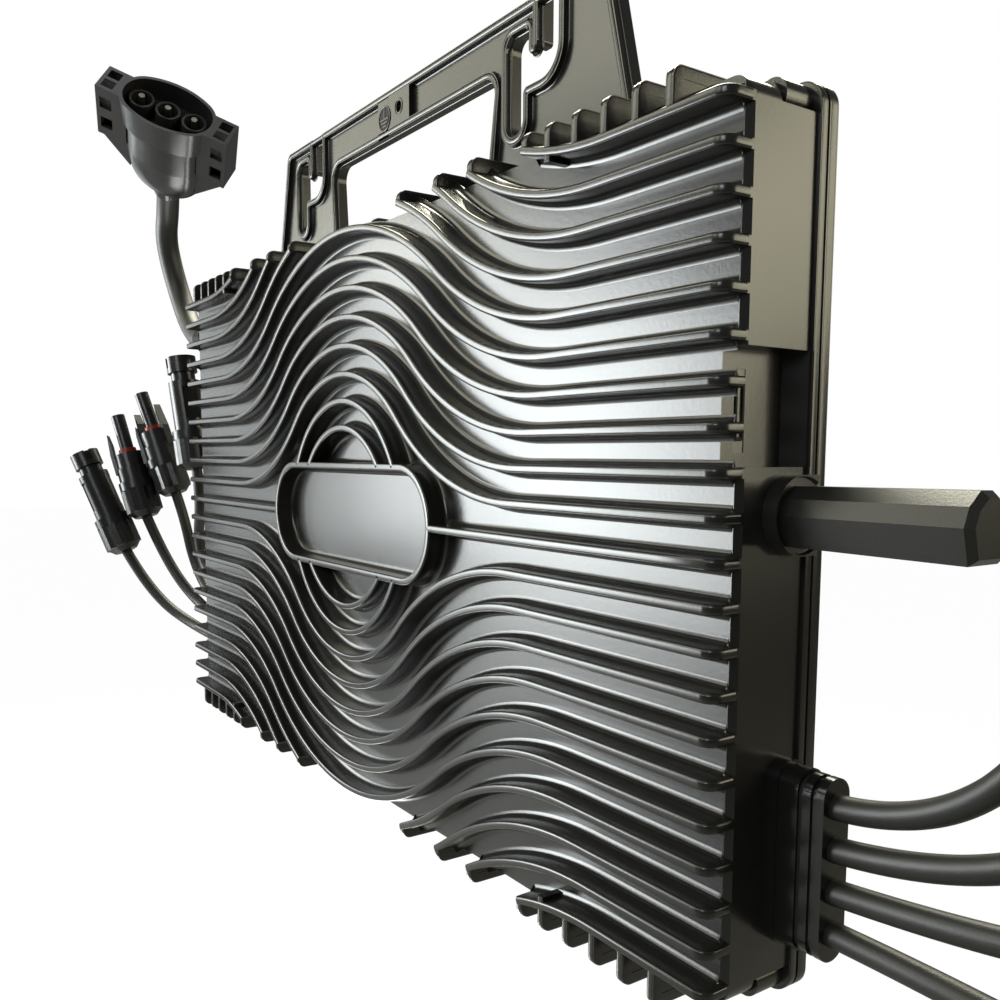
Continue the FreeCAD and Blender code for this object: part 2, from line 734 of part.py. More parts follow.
def cord(name, points, d):
    """A round lead of straight runs joined by tangent arcs, and a printed check.

    At each corner the arc's radius is 0.45 times the shorter run over the tangent of
    half the turn. The volume is compared with the section times the length.
    """
    pts = [V(*p) for p in points]
    edges, last, length, radii = [], pts[0], 0.0, []
    for i in range(1, len(pts) - 1):
        a = pts[i - 1] - pts[i]
        b = pts[i + 1] - pts[i]
        short = min(a.Length, b.Length)
        a.normalize()
        b.normalize()
        half_turn = (math.pi - a.getAngle(b)) / 2
        radius = 0.45 * short / math.tan(half_turn)
        cut = 0.45 * short
        middle = a + b
        middle.normalize()
        centre = pts[i] + middle * (radius / math.cos(half_turn))
        p0, p1 = pts[i] + a * cut, pts[i] + b * cut
        edges.append(Part.LineSegment(last, p0).toShape())
        edges.append(Part.Arc(p0, centre - middle * radius, p1).toShape())
        radii.append(round(radius, 1))
        last = p1
    edges.append(Part.LineSegment(last, pts[-1]).toShape())
    wire = Part.Wire(edges)
    length = wire.Length
    start = pts[1] - pts[0]
    start.normalize()
    ring = Part.Wire(Part.makeCircle(d / 2, pts[0], start))
    tube = wire.makePipeShell([ring], True, False)
    ratio = tube.Volume / (math.pi * d * d / 4 * length)
    print(name, "length", round(length), "radii", radii, "volume ratio", round(ratio, 4))
    return tube


def along(shape, base, direction, roll=0.0):
    """Move a piece built up the Z axis so that it starts at base and points along."""
    out = shape.copy()
    out.rotate(V(0, 0, 0), V(0, 0, 1), roll)
    turn = FreeCAD.Rotation(V(0, 0, 1), direction)
    out.Placement = FreeCAD.Placement(base, turn).multiply(out.Placement)
    return out


def plug_nut():
    """Fluted cap nut of a lead connector, 22 long."""
    pts = []
    for i in range(24):
        r = 10.4 if i % 3 else 9.5
        pts.append(V(r * math.cos(i * math.pi / 12), r * math.sin(i * math.pi / 12), 3))
    body = Part.Face(Part.makePolygon(pts + [pts[0]])).extrude(V(0, 0, 14))
    return fuse([Part.makeCone(6.6, 9.5, 3), body, Part.makeCylinder(10.4, 5, V(0, 0, 17))])


def socket_plug():
    """The connector with a round socket at its end, from the nut to 64 mm."""
    shell = fuse([Part.makeCylinder(8.6, 28, V(0, 0, 22)), Part.makeCylinder(6.6, 5, V(0, 0, 50)),
                  Part.makeCylinder(8.2, 9, V(0, 0, 55))])
    shell = shell.cut(Part.makeCylinder(4.6, 36, V(0, 0, 29)))
    for s in (-1, 1):
        shell = shell.cut(Part.makeBox(3.0, 5.0, 6.5, V(-1.5, s * 8.2 - 2.5, 58)))
        shell = shell.cut(Part.makeBox(2.0, 8.0, 18, V(s * 8.2 - 1.0, -4.0, 28)))
    return shell


def pin_plug():
    """The connector with a tube nose and two latch arms, from the nut to 63 mm."""
    shell = fuse([Part.makeCylinder(9.2, 8, V(0, 0, 22)), Part.makeCylinder(8.2, 9, V(0, 0, 30)),
                  Part.makeCylinder(3.9, 24, V(0, 0, 39))])
    shell = shell.cut(Part.makeCylinder(2.2, 30, V(0, 0, 34)))
    arms = []
    for s in (-1, 1):
        profile = [(s * 7.2, 28), (s * 9.8, 28), (s * 9.9, 40), (s * 8.6, 53), (s * 7.8, 47),
                   (s * 8.0, 40)]
        pts = [V(x, -2.6, z) for x, z in profile]
        arms.append(Part.Face(Part.makePolygon(pts + [pts[0]])).extrude(V(0, 5.2, 0)))
    return fuse([shell] + arms)


def plug_ring():
    ring = Part.makeCylinder(5.0, 3.0, V(0, 0, 39))
    return ring.cut(Part.makeCylinder(3.9, 4, V(0, 0, 38.5)))


def plug_contact(kind):
    if kind == "socket":
        return Part.makeCylinder(2.4, 26, V(0, 0, 29)).cut(Part.makeCylinder(1.4, 20, V(0, 0, 36)))
    return Part.makeCylinder(1.4, 20, V(0, 0, 34))


oval_half = (25.5, 17.5)


def oval_wire(scale, z, grow=0.0):
    """The eye-shaped outline of the mains connector: two flat arcs and two end arcs."""
    a, b = oval_half[0] * scale + grow, oval_half[1] * scale + grow
    p = [V(-0.66 * a, -0.78 * b, z), V(0.66 * a, -0.78 * b, z), V(0.66 * a, 0.78 * b, z),
         V(-0.66 * a, 0.78 * b, z)]
    edges = [Part.Arc(p[0], V(0, -b, z), p[1]).toShape(), Part.Arc(p[1], V(a, 0, z), p[2]).toShape(),
             Part.Arc(p[2], V(0, b, z), p[3]).toShape(), Part.Arc(p[3], V(-a, 0, z), p[0]).toShape()]
    return Part.Wire(edges)


def oval_prism(scale, z0, z1, grow=0.0):
    return Part.Face(oval_wire(scale, z0, grow)).extrude(V(0, 0, z1 - z0))


mouth_z = 57.0              # length of the mains connector
collar_z = 41.0             # where its collar begins
floor_z = 43.0              # floor of its mouth
wing_x = (20.0, 36.0)
pin_x = (-14.5, 0.0, 14.5)


def ac_plug_shell():
    """The mains connector's shell with a rounded foot and a latch frame at each end."""
    foot = [(0.46, 0.0), (0.62, 3.0), (0.77, 9.0), (0.84, 16.0), (0.87, 24.0)]
    body = Part.makeLoft([oval_wire(k, z) for k, z in foot], True)
    waist = oval_prism(0.87, 24, collar_z)
    collar = Part.makeLoft([oval_wire(0.94, collar_z), oval_wire(1.0, mouth_z)], True)
    frames = []
    for s in (-1, 1):
        block = box(s * wing_x[0], s * wing_x[1], -8.5, 8.5, 26, mouth_z)
        for y in (-6.5, 1.0):
            block = block.cut(box(s * 27.5, s * 34, y, y + 5.5, 20, mouth_z + 3))
        for z in (31.0, 44.0):
            block = block.cut(box(s * 27.5, s * 34, -12, 12, z, z + 7))
        wedge = [V(s * 19, -7, 10), V(s * 35, -7, 26), V(s * 19, -7, 26)]
        web = Part.Face(Part.makePolygon(wedge + [wedge[0]])).extrude(V(0, 14, 0))
        frames += [block, web]
    shell = fuse([body, waist, collar] + frames)
    grow = (mouth_z + 1 - collar_z) / (mouth_z - collar_z) * 0.06
    mouth = Part.makeLoft([oval_wire(0.9475, floor_z, -1.8),
                           oval_wire(0.94 + grow, mouth_z + 1, -1.8)], True)
    return shell.cut(mouth)


def ac_plug_nut():
    return Part.makeCone(7.6, 7.9, 5, V(0, 0, -5))


def ac_plug_insert():
    out = [oval_prism(0.9475, floor_z, floor_z + 2, -1.9)]
    for x in pin_x:
        ring = Part.makeCylinder(6.4, 11, V(x, 0, floor_z))
        out.append(ring.cut(Part.makeCylinder(5.2, 12, V(x, 0, floor_z))))
    return fuse(out)


def ac_plug_pins():
    return Part.makeCompound([Part.makeCylinder(1.6, 11, V(x, 0, floor_z + 2)) for x in pin_x])


# Corner points of the leads in the housing frame, from the gland outward.
left_leads = [
    [(-gland_x, gland_y, lead_z[0]), (-230.5, 23.4, -52), (-241.2, 19, -29.5), (-220.2, 15.3, -3),
     (-222.5, 14, 15)],
    [(-gland_x, gland_y, lead_z[1]), (-232.5, 23.4, -61.8), (-251, 19.2, -41), (-248.8, 13.8, -14),
     (-253, 10.5, 0)],
    [(-gland_x, gland_y, lead_z[2]), (-236, 21, -70), (-258, 6, -44), (-264, -4, -14)],
    [(-gland_x, gland_y, lead_z[3]), (-240, 19, -82), (-266, -2, -62), (-274, -14, -35)],
]
left_tips = [(-232, 9.7, 75), (-270, -3, 58), (-281, -15, 47), (-293, -32, 23)]
left_kinds = ["socket", "pin", "pin", "socket"]
right_leads = [
    [(gland_x, gland_y, lead_z[0]), (232, 21, -51), (258, 20, -22), (268, 20, 10)],
    [(gland_x, gland_y, lead_z[1]), (234, 21, -60), (266, 20, -42), (288, 20, -10), (296, 20, 18)],
    [(gland_x, gland_y, lead_z[2]), (236, 21, -70), (272, 20, -62), (306, 20, -38), (324, 20, -4)],
    [(gland_x, gland_y, lead_z[3]), (236, 21, -82), (276, 20, -84), (320, 20, -72), (348, 20, -40), (356, 20, -6)],
]
right_tips = [(274, 20, 74), (306, 20, 81), (344, 20, 56), (364, 20, 57)]
right_kinds = ["pin", "socket", "pin", "socket"]
ac_lead = [(-half_w - ac_gland_l, ac_y, ac_z), (-238.5, 24.8, 88), (-271.8, 27.9, 100.2),
           (-286.4, 26.1, 121.2), (-288.4, 21.5, 141.6), (-284, 18, 156), (-274, 16.9, 168.9),
           (-260.5, 13.4, 176.8)]
ac_mouth = (-208.4, 0.0, 207.5)
ac_major = (0.4, 0.8, -0.4)


def place_oval(shape, base, direction, major):
    """Put the mains connector on its base point, its length and its long side given."""
    z = V(*direction)
    z.normalize()
    x = V(*major)
    x = x - z * x.dot(z)
    x.normalize()
    y = z.cross(x)
    m = FreeCAD.Matrix(x.x, y.x, z.x, base.x, x.y, y.y, z.y, base.y, x.z, y.z, z.z, base.z,
                       0, 0, 0, 1)
    out = shape.copy()
    out.Placement = FreeCAD.Placement(m)
    return out


def leads():
    """All leads with their connectors, as a dictionary of nodes."""
    out = {}
    nuts = {"left": [], "right": []}
    rings, contacts = [], []
    for side, routes, tips, kinds in (("left", left_leads, left_tips, left_kinds),
                                      ("right", right_leads, right_tips, right_kinds)):
        for i in range(4):
            name = side + "_" + str(i + 1)
            out["pv_lead_" + name] = cord("pv_lead_" + name, routes[i], lead_d)
            base = V(*routes[i][-1])
            d = unit(routes[i][-1], tips[i])
            roll = 30.0 * i
            nuts[side].append(along(plug_nut(), base, d, roll))
            make = socket_plug if kinds[i] == "socket" else pin_plug
            out["pv_plug_" + name] = along(make(), base, d, roll)
            contacts.append(along(plug_contact(kinds[i]), base, d))
            if kinds[i] == "pin":
                rings.append(along(plug_ring(), base, d))
    for side in nuts:
        out["pv_plug_nuts_" + side] = Part.makeCompound(nuts[side])
    out["pv_plug_rings"] = Part.makeCompound(rings)
    out["pv_plug_contacts"] = Part.makeCompound(contacts)
    out["ac_lead"] = cord("ac_lead", ac_lead, ac_d)
    d = unit(ac_lead[-1], ac_mouth)
    base = V(*ac_lead[-1]) + d * 5.0
    out["ac_plug_shell"] = place_oval(ac_plug_shell(), base, d, ac_major)
    out["ac_plug_nut"] = place_oval(ac_plug_nut(), base, d, ac_major)
    out["ac_plug_insert"] = place_oval(ac_plug_insert(), base, d, ac_major)
    out["ac_plug_pins"] = place_oval(ac_plug_pins(), base, d, ac_major)
    return out


def status_lens():
    x = half_w - window_depth
    return box(x - 1.5, x - 0.2, lens_y[0], lens_y[1], lens_z[0], lens_z[1])


def all_nodes():
    nodes = {
        "front_housing": front_housing(),
        "back_cover": back_cover(),
        "cover_gasket": gasket(),
        "cover_screws": cover_screw_set(),
        "status_lens": status_lens(),
        "antenna_base": antenna_base(),
        "antenna_rod": antenna_rod(),
        "antenna_nut": antenna_nut(),
        "ac_gland": ac_gland(),
        "ac_gland_nut": ac_gland_nut(),
        "main_board": main_board(),
        "board_screws": board_screw_set(),
        "transformer_cores": transformer_cores(),
        "transformer_coils": transformer_coils(),
        "thermal_pads": thermal_pads(),
        "capacitors": capacitors(),
        "relays": relays(),
        "filter_coils": filter_coils(),
        "film_capacitors": film_capacitors(),
        "radio_board": radio_board(),
        "lead_terminals": lead_terminals(),
    }
    for s, side in ((-1, "left"), (1, "right")):
        nodes["gland_body_" + side] = gland_body(s)
        nodes["gland_seal_" + side] = gland_seal(s)
        nodes["gland_clamp_" + side] = gland_clamp(s)
    nodes.update(leads())
    return nodes


to_bolts = V(0, -hang_y, -hang_z)
for node, shape in all_nodes().items():
    moved = shape.copy()
    moved.translate(to_bolts)
    if not moved.isValid():
        print("not valid:", node)
    moved.exportStep("parts/" + node + ".step")
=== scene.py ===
# %% [markdown]
# A solar microinverter hangs by its rear plate. Its front is one casting whose thin
# cooling fins run straight at both ends and swing up or down in a smooth wave round a
# stadium-shaped frame in the middle. The solids come first and stay as the frame; this
# lesson dresses them with rounded fins, soft powder coat, moulded plastic and cable.
#
# Dimensions below are in millimetres, measured on the housing: x to the right, y from the
# tips of the fins to the back, z up from the middle of the oval. Blender works in metres
# from the line of the hanging bolts, so every shape goes through one function, hung().

# %% Load the solids
import math
import bpy
import numpy as np
from mathutils import Matrix, Vector


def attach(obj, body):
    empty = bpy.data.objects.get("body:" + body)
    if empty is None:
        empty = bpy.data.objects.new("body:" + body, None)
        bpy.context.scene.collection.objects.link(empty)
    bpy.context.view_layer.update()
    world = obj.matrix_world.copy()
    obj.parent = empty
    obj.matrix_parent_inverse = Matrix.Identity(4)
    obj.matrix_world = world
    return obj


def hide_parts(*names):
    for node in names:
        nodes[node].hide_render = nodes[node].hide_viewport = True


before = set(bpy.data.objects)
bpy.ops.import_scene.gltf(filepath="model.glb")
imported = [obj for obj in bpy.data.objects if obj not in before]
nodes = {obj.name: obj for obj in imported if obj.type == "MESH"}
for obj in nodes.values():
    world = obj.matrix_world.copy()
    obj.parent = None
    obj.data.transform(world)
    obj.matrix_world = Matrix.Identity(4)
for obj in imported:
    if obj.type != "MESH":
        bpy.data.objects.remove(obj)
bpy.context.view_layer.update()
MM = 0.001
BOLT_LINE = np.array([0.0, 32.0, 152.2])
print("solids loaded:", len(nodes))


def hung(points):
    """Housing millimetres to metres in the hanging frame: less the bolt line, times 0.001."""
    return (np.asarray(points, float) - BOLT_LINE) * MM


# %% [markdown]
# The photograph was taken from close by, low on the right, with a wide lens. The camera
# has the place and turn that make the fin ends, the plate and the antenna fall where the
# photograph has them. A small shift stands for the crop.

# %% Camera
camera_data = bpy.data.cameras.new("view")
camera_data.sensor_width = 36.0
camera_data.lens = 34.69
camera_data.shift_x = -0.01198
camera_data.shift_y = 0.05523
camera_data.clip_start = 0.01
camera = bpy.data.objects.new("view", camera_data)
bpy.context.scene.collection.objects.link(camera)
to_right = Vector((0.57308, 0.81948, 0.00543)).normalized()
to_front = Vector((-0.81476, 0.57047, -0.10357)).normalized()
to_top = to_right.cross(to_front).normalized()
turn = Matrix((to_right, to_top, -to_front)).transposed().to_4x4()
camera.matrix_world = Matrix.Translation((0.33528, -0.18769, -0.12834)) @ turn
bpy.context.scene.camera = camera
bpy.context.scene.view_settings.view_transform = "Standard"
print("camera stands at", tuple(round(c, 3) for c in camera.location))

# %% [markdown]
# Eight panel leads and one mains lead leave through the glands. Each is a smooth NURBS
# line through the same corner points as its solid, with a round section. A spline of
# order three cuts inside its corners, as a springy cable does.

# %% Leads
LEADS = {
    "pv_lead_left_1": (0.097, [(-206, 24, -54.3), (-230.5, 23.4, -52), (-241.2, 19, -29.5),
                               (-220.2, 15.3, -3), (-222.5, 14, 15)]),
    "pv_lead_left_2": (0.095, [(-206, 24, -64.2), (-232.5, 23.4, -61.8), (-251, 19.2, -41),
                               (-248.8, 13.8, -14), (-253, 10.5, 0)]),
    "pv_lead_left_3": (0.098, [(-206, 24, -74.1), (-236, 21, -70), (-258, 6, -44), (-264, -4, -14)]),
    "pv_lead_left_4": (0.102, [(-206, 24, -84), (-240, 19, -82), (-266, -2, -62), (-274, -14, -35)]),
    "pv_lead_right_1": (0.097, [(206, 24, -54.3), (232, 21, -51), (258, 20, -22), (268, 20, 10)]),
    "pv_lead_right_2": (0.132, [(206, 24, -64.2), (234, 21, -60), (266, 20, -42), (288, 20, -10),
                                (296, 20, 18)]),
    "pv_lead_right_3": (0.146, [(206, 24, -74.1), (236, 21, -70), (272, 20, -62), (306, 20, -38),
                                (324, 20, -4)]),
    "pv_lead_right_4": (0.191, [(206, 24, -84), (236, 21, -82), (276, 20, -84), (320, 20, -72),
                                (348, 20, -40), (356, 20, -6)]),
    "ac_lead": (0.163, [(-204, 19, 88), (-238.5, 24.8, 88), (-271.8, 27.9, 100.2),
                        (-286.4, 26.1, 121.2), (-288.4, 21.5, 141.6), (-284, 18, 156),
                        (-274, 16.9, 168.9), (-260.5, 13.4, 176.8)]),
}
LEAD_D, MAINS_D = 0.006, 0.0128
on_lead = {name: [name.replace("lead", "plug")] for name in LEADS if name != "ac_lead"}
on_lead["pv_lead_left_1"].append("pv_plug_nuts_left")
on_lead["pv_lead_right_1"].append("pv_plug_nuts_right")
on_lead["ac_lead"] = ["ac_plug_shell", "ac_plug_nut", "ac_plug_insert", "ac_plug_pins"]
leads = {}
for name, (length, route) in LEADS.items():
    thick = MAINS_D if name == "ac_lead" else LEAD_D
    curve = bpy.data.curves.new(name + "_line", "CURVE")
    curve.dimensions = "3D"
    curve.bevel_depth = 1.0     # scaled at each point by its radius, half the lead's thickness
    curve.bevel_resolution = 6
    curve.resolution_u = 16
    curve.use_fill_caps = True
    line = curve.splines.new("NURBS")
    corners = hung(route)
    line.points.add(len(corners) - 1)
    line.points.foreach_set("co", np.c_[corners, np.ones(len(corners))].ravel())
    line.points.foreach_set("radius", np.full(len(corners), thick / 2))
    line.order_u = 3
    line.use_endpoint_u = True
    lead = bpy.data.objects.new(name.replace("lead", "cable"), curve)
    bpy.context.scene.collection.objects.link(lead)
    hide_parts(name)
    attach(lead, "root")
    leads[name] = lead
print("leads:", len(leads))

# %% [markdown]
# A finish is a graph of nodes, and drawn by hand it soon becomes a tangle. Here a small
# class wraps one socket, so that shader maths reads like arithmetic, and one function adds
# any other node. The same two serve the floor, the surroundings and every material.

# %% Shader expressions
class Signal:
    """A socket in a node tree; + - * add Math nodes, from either side of the sign."""

    def __init__(self, tree, socket):
        self.tree, self.socket = tree, socket

    def math(self, operation, *others):
        return add_node(self.tree, "ShaderNodeMath", {"operation": operation}, sockets=others)

    def __add__(self, other):
        return self.math("ADD", self, other)

    def __sub__(self, other):
        return self.math("SUBTRACT", self, other)

    def __rsub__(self, other):
        return self.math("SUBTRACT", other, self)

    def __mul__(self, other):
        return self.math("MULTIPLY", self, other)

    __radd__ = __add__
    __rmul__ = __mul__

    def clip(self):
        return add_node(self.tree, "ShaderNodeClamp", sockets=(self,))


def plug(tree, slot, value):
    """Link a Signal to a socket, or write a plain value on it."""
    if isinstance(value, Signal):
        tree.links.new(value.socket, slot)
    elif isinstance(value, tuple) and len(value) == 3 and slot.type == "RGBA":
        slot.default_value = (*value, 1.0)
    else:
        slot.default_value = value


def add_node(tree, kind, settings=None, stops=None, sockets=(), out=0, **values):
    """Add a node: its settings first, then ramp stops, then sockets in order and by name."""
    node = tree.nodes.new(kind)
    for key, value in (settings or {}).items():
        setattr(node, key, value)
    if stops:
        ramp = node.color_ramp
        while len(ramp.elements) < len(stops):
            ramp.elements.new(0.5)
        for element, (where, shade) in zip(ramp.elements, stops):
            element.position = where
            element.color = (*shade, 1.0)
    open_slots = [slot for slot in node.inputs if slot.enabled]
    for slot, value in zip(open_slots, sockets):
        plug(tree, slot, value)
    for key, value in values.items():
        plug(tree, next(s for s in open_slots if s.name.replace(" ", "_") == key), value)
    if isinstance(out, str):
        return Signal(tree, node.outputs[out])
    return Signal(tree, [socket for socket in node.outputs if socket.enabled][out])


class Finish:
    """A material in the making: its tree, its main shader and a way to add any node."""

    def __init__(self, name, **uniform):
        self.material = bpy.data.materials.new(name)
        self.material.use_nodes = True
        self.tree = self.material.node_tree
        self.shader = self.tree.nodes["Principled BSDF"]
        self.output = self.tree.nodes["Material Output"]
        self.set(**uniform)
        self.place = self.add("ShaderNodeTexCoord", out="Object")

    def add(self, kind, *args, **values):
        """Add a node to this finish; see add_node."""
        return add_node(self.tree, kind, *args, **values)

    def noise(self, scale, detail=3.0):
        """Noise of about scale spots in a metre, in Object coordinates."""
        return self.add("ShaderNodeTexNoise", Vector=self.place, Scale=scale, Detail=detail,
                        Roughness=0.55)

    def mix(self, share, first, second):
        """A colour between first (share 0) and second (share 1)."""
        return self.add("ShaderNodeMix", {"data_type": "RGBA"}, sockets=(share, first, second))

    def bump(self, height, strength, distance):
        return self.add("ShaderNodeBump", Height=height, Strength=strength, Distance=distance)

    def set(self, **values):
        for key, value in values.items():
            plug(self.tree, self.shader.inputs[key.replace("_", " ")], value)


print("operators of an expression: + - * and clip")

# %% [markdown]
# The stage is a pale floor well below the hanging unit and a white surrounding. What the
# camera sees of both is white. What they send back to the object is far less, because the
# unit is nearly black and would turn grey in an evenly white room.

# %% Floor
FLOOR_Z, FLOOR_HALF = -0.62, 9.0
FLOOR_SEEN = 0.985          # share of plain white in the floor that the camera sees
WHITE = (1.0, 1.0, 1.0)
mesh = bpy.data.meshes.new("floor")
mesh.from_pydata([(x * FLOOR_HALF, y * FLOOR_HALF, FLOOR_Z)
                  for x, y in ((-1, -1), (1, -1), (1, 1), (-1, 1))], [], [(0, 1, 2, 3)])
floor = bpy.data.objects.new("floor", mesh)
bpy.context.scene.collection.objects.link(floor)
pale = Finish("pale_floor", Roughness=0.8)
seen = pale.add("ShaderNodeLightPath", out="Is Camera Ray")
pale.set(Base_Color=pale.mix(seen, (0.22, 0.22, 0.22), (0.92, 0.92, 0.92)))
glow = pale.add("ShaderNodeEmission", Color=WHITE, Strength=1.0)
base = Signal(pale.tree, pale.shader.outputs[0])
blend = pale.add("ShaderNodeMixShader", sockets=(seen * FLOOR_SEEN, base, glow))
plug(pale.tree, pale.output.inputs[0], blend)
floor.data.materials.append(pale.material)
print("floor at", FLOOR_Z)

# %% Surroundings
AMBIENT, AMBIENT_TINT = 0.06, (0.93, 0.97, 1.0)
GLOSSY_SEEN = 0.06          # share of the white surrounding that a glossy surface shows
world = bpy.data.worlds.new("surroundings")
bpy.context.scene.world = world
world.use_nodes = True
sky = world.node_tree
sky.nodes.clear()
dim = add_node(sky, "ShaderNodeBackground", Color=AMBIENT_TINT, Strength=AMBIENT)
white = add_node(sky, "ShaderNodeBackground", Color=WHITE, Strength=1.0)
camera_ray, glossy_ray, clear_ray = (add_node(sky, "ShaderNodeLightPath", out=f"Is {kind} Ray")
                                     for kind in ("Camera", "Glossy", "Transmission"))
share = (camera_ray + glossy_ray * GLOSSY_SEEN + clear_ray).clip()
join = add_node(sky, "ShaderNodeMixShader", sockets=(share, dim, white))
plug(sky, sky.nodes.new("ShaderNodeOutputWorld").inputs[0], join)
print("surroundings light the object at", AMBIENT)

# %% [markdown]
# Flat glossy panels show a lamp only where they mirror it towards the viewer, so a few
# small softboxes, each with its own task, draw the casting better than one big light. Each
# stands 1.5 m from the middle of the unit, at an angle that is counted from straight in
# front, to the left and up. The front ones are a little cool, the rear ones warm.

# %% Lamps
MIDDLE = Vector((0.0, -0.01, -0.15))
LAMP_REACH = 1.5
COOL, OLIVE, WARM = (0.95, 1.0, 1.0), (1.0, 0.97, 0.78), (1.0, 0.94, 0.68)
LAMPS = [  # name, degrees to the left, degrees up, size, watts, tint
    ("front_left_wide", 42, 0, 0.6, 9.5, COOL),
    ("front_left_high", 52, 6, 0.6, 9.0, COOL),
    ("front_left_low", 45, -14, 0.6, 4.0, COOL),
    ("left_edge", 80, 0, 0.6, 1.5, COOL),
    ("left_above", 40, 35, 0.6, 3.8, OLIVE),
    ("left_plate", 63, 22, 0.5, 1.8, OLIVE),
    ("front_above", 5, 30, 0.6, 3.0, OLIVE),
    ("front_right", -30, 25, 0.5, 4.0, COOL),
    ("rod_sheen", 125, 56, 0.8, 34.0, OLIVE),
    ("rod_sheen_rear", 148, 40, 0.6, 9.0, OLIVE),
    ("overhead", 0, 80, 0.6, 1.5, COOL),
    ("right_rear_warm", -144, 18, 0.6, 3.4, WARM),
    ("right_rear_side", -122, 8, 0.6, 4.2, WARM),
    ("right_rear_high", -132, 24, 0.6, 0.6, WARM),
]


def softbox(name, place, target, size, power, tint=WHITE):
    """A square lamp at place that faces target."""
    lamp = bpy.data.lights.new(name, "AREA")
    lamp.shape = "RECTANGLE"
    lamp.size = lamp.size_y = size
    lamp.energy = power
    lamp.color = tint
    obj = bpy.data.objects.new(name, lamp)
    obj.location = place
    obj.rotation_euler = (Vector(target) - Vector(place)).to_track_quat("-Z", "Y").to_euler()
    bpy.context.scene.collection.objects.link(obj)
    return obj


for name, left, up, size, power, tint in LAMPS:
    turn, rise = math.radians(left), math.radians(up)
    flat = math.cos(rise)
    way = Vector((-math.sin(turn) * flat, -math.cos(turn) * flat, math.sin(rise)))
    softbox(name, MIDDLE + LAMP_REACH * way, MIDDLE, size, power, tint)
# One lamp stands under the mains connector, in place of the bright floor that lights it.
from_below = softbox("from_below", (-0.42, 0.03, -0.56), (-0.27, 0.0, 0.03), 0.3, 2.2)
from_below.visible_camera = False
print("lamps:", len(LAMPS) + 1)

# %% [markdown]
# Powder coat on a casting is a dark, even film with a fine orange-peel surface. Two close
# tones, a slow change of gloss and a very shallow bump give it that look.

# %% Powder-coated casting
coat = Finish("powder_coat", IOR=1.6)
cloud = coat.noise(18.0, 4.0)
peel = coat.noise(900.0, 2.0)
speck = coat.noise(2600.0, 1.0)
coat.set(Base_Color=coat.mix(cloud, (0.013, 0.013, 0.012), (0.021, 0.020, 0.018)),
         Roughness=0.17 + 0.06 * cloud + 0.04 * speck,
         Normal=coat.bump(peel * 0.7 + speck * 0.3, 0.06, 0.0004))
print("casting:", coat.material.name)

# %% [markdown]
# Moulded plastics differ by gloss: glands are shiny, connectors satin, the antenna has a
# fine spark-eroded grain. One function with a few numbers makes them all.

# %% Moulded plastics and rubber
def moulded(name, dark, light, rough, grain, depth):
    """Two near tones by slow noise, roughness round a middle value, grain as bump."""
    finish = Finish(name)
    tone = finish.noise(30.0, 3.0)
    fine = finish.noise(grain, 2.0)
    finish.set(Base_Color=finish.mix(tone, dark, light), Roughness=rough + 0.1 * (tone - 0.5),
               Normal=finish.bump(fine, 0.15, depth))
    return finish.material


# name: dark tone, light tone, roughness, grains in a metre, depth of the grain in metres
PLASTICS = {
    "antenna_skin": ((0.016, 0.016, 0.015), (0.026, 0.025, 0.023), 0.30, 1500.0, 0.00015),
    "gland_gloss": ((0.008, 0.008, 0.008), (0.014, 0.014, 0.014), 0.2, 500.0, 0.0002),
    "plug_satin": ((0.010, 0.010, 0.010), (0.018, 0.018, 0.018), 0.25, 1200.0, 0.0004),
    "mains_satin": ((0.016, 0.016, 0.017), (0.026, 0.026, 0.027), 0.22, 1200.0, 0.0003),
    "jacket": ((0.014, 0.014, 0.013), (0.024, 0.024, 0.021), 0.46, 1400.0, 0.0003),
    "soft_black": ((0.008, 0.008, 0.008), (0.014, 0.014, 0.014), 0.75, 900.0, 0.0005),
    "red_seal": ((0.26, 0.012, 0.012), (0.34, 0.02, 0.018), 0.4, 900.0, 0.0003),
    "smoky_lens": ((0.16, 0.155, 0.14), (0.22, 0.215, 0.20), 0.18, 400.0, 0.0001),
    "board_green": ((0.012, 0.09, 0.03), (0.02, 0.13, 0.05), 0.35, 600.0, 0.0002),
    "ferrite": ((0.03, 0.03, 0.032), (0.05, 0.05, 0.052), 0.6, 1800.0, 0.0005),
    "winding": ((0.5, 0.33, 0.04), (0.62, 0.42, 0.06), 0.45, 400.0, 0.0003),
    "pad_grey": ((0.30, 0.31, 0.33), (0.38, 0.39, 0.41), 0.7, 800.0, 0.0003),
    "part_blue": ((0.03, 0.08, 0.25), (0.05, 0.11, 0.32), 0.35, 500.0, 0.0002),
}
finishes = {name: moulded(name, *numbers) for name, numbers in PLASTICS.items()}
finishes["powder_coat"] = coat.material
print("plastics and rubber:", len(PLASTICS))

# %% [markdown]
# The screws are bright steel. The pins and contacts are tin, painted much darker than tin is,
# as painted shade for the inside of the connectors. Neither is a mirror: fine marks spread
# its highlights, so one fine noise varies tone and gloss and gives a shallow bump.

# %% Metals
def metal(name, tone, rough):
    """Bright metal whose tone, gloss and surface vary with one fine noise."""
    finish = Finish(name, Metallic=1.0)
    fine = finish.noise(900.0, 2.0)
    finish.set(Base_Color=finish.mix(fine, tone, tuple(0.8 * c for c in tone)),
               Roughness=rough + 0.15 * fine, Normal=finish.bump(fine, 0.08, 0.0003))
    return finish.material


finishes["steel"] = metal("steel", (0.62, 0.62, 0.60), 0.25)
# The tin's dark tone is painted shade: the pins and contacts sit deep inside their connectors.
finishes["tinned"] = metal("tinned", (0.20, 0.19, 0.17), 0.4)
print("finishes:", len(finishes))

# %% [markdown]
# A solid whose shape is right stays and only gets its finish. Families of solids, such as
# the eight connectors, share one finish, found by the start of their names.

